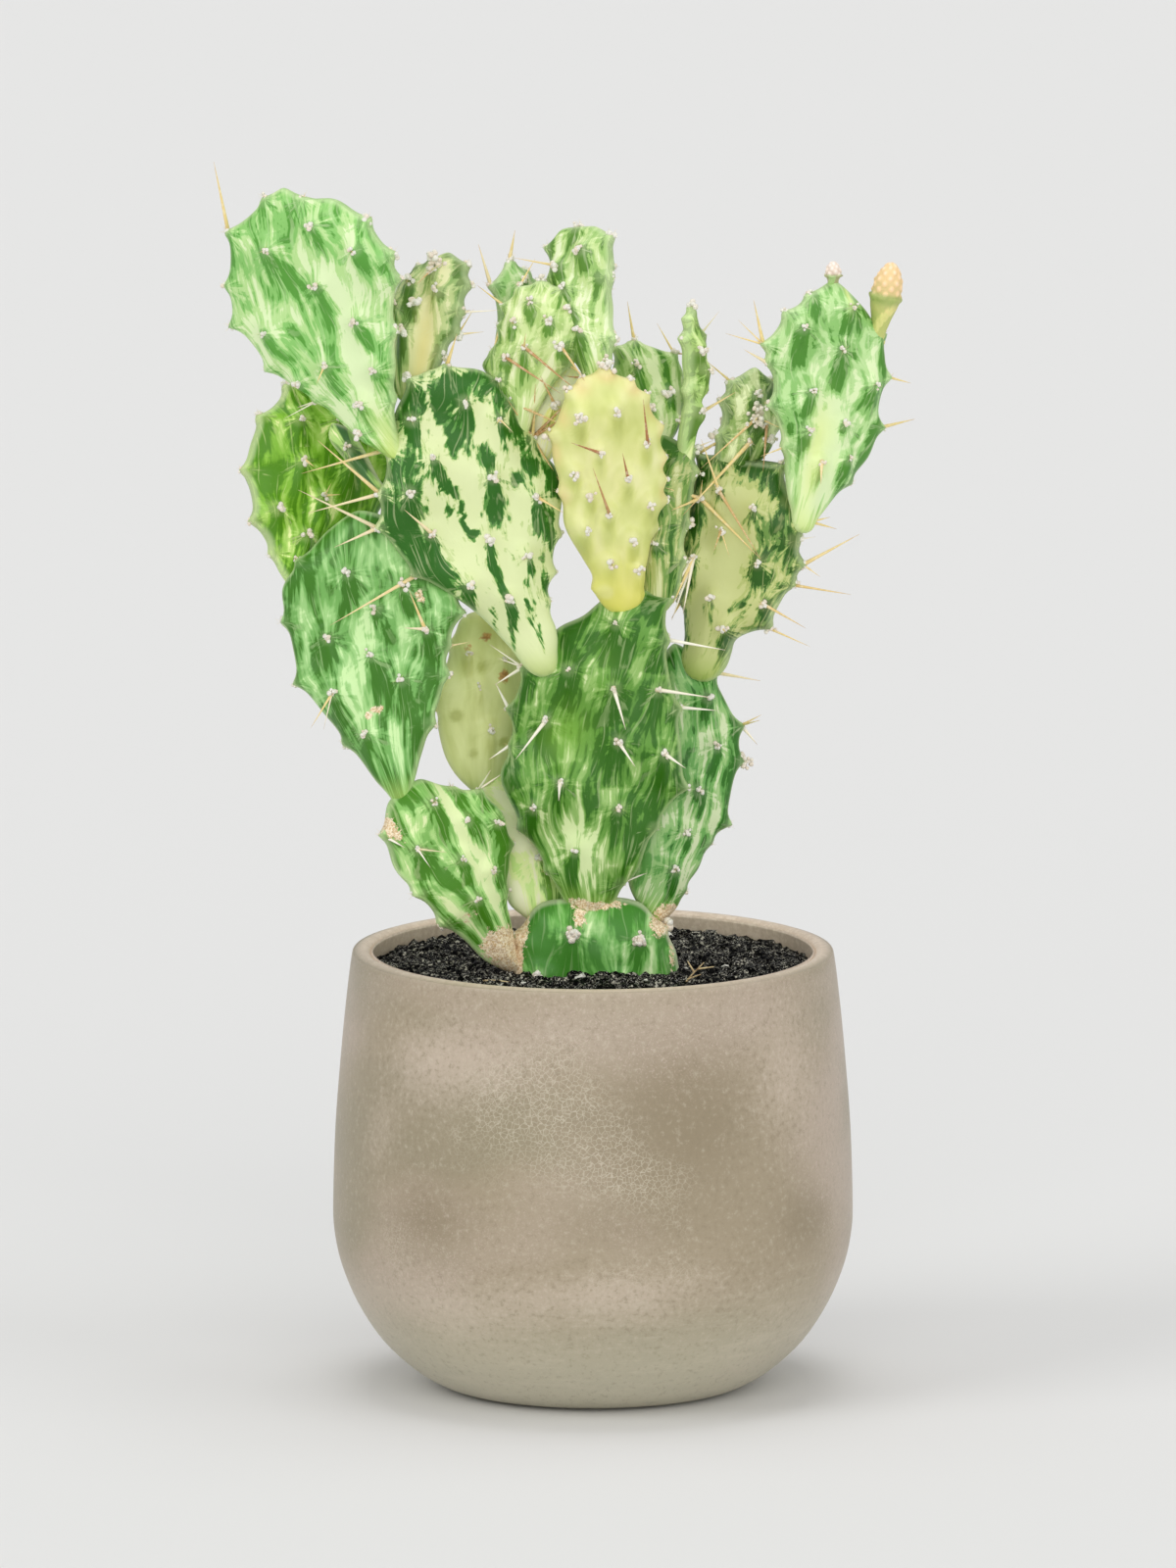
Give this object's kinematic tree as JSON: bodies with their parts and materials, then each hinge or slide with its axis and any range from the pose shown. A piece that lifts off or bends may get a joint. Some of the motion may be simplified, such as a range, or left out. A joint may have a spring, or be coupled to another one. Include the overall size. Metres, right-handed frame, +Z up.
{
  "type": "potted prickly pear cactus",
  "caption": "Variegated prickly pear of flat jointed pads with spines and buds, standing in soil in a round ceramic pot.",
  "frame": {"origin": "centre of the pot's flat foot, on the surface it stands on", "axes": "+Z up along the pot's axis; the pads face -Y, the side seen in the picture; +X to the right in that view"},
  "size_m": [0.214, 0.1602, 0.3829],
  "materials": {
    "pot": "satin taupe crackle glaze",
    "soil": "loose black granular mix",
    "pad_green": "waxy, mid and dark green with cream streaks",
    "pad_pale": "waxy, cream and light green marbled",
    "pad_olive": "waxy, olive green with brown spots",
    "pad_yellow": "waxy pale yellow",
    "bud": "matte, peach to green"
  },
  "bodies": {
    "root": {"pot": "pot", "soil": "soil", "base_pad": "pad_green", "central_pad": "pad_green", "lower_left_pad": "pad_green", "lower_right_pad": "pad_green", "pale_stem_pad": "pad_pale", "pale_pad": "pad_olive", "left_big_pad": "pad_green", "left_back_pad": "pad_olive", "cream_front_pad": "pad_pale", "top_left_pad": "pad_pale", "narrow_left_pad": "pad_pale", "yellow_pad": "pad_yellow", "upper_pale_pad": "pad_pale", "back_tip_pad": "pad_green", "olive_pad": "pad_olive", "narrow_top_pad": "pad_pale", "twisted_pad": "pad_green", "tall_back_pad": "pad_green", "upper_back_pad": "pad_green", "edge_pad": "pad_pale", "cream_right_pad": "pad_pale", "small_right_pad": "pad_green", "top_right_pad": "pad_pale", "peach_bud": "bud", "knob_bud": "bud"}
  },
  "joints": []
}
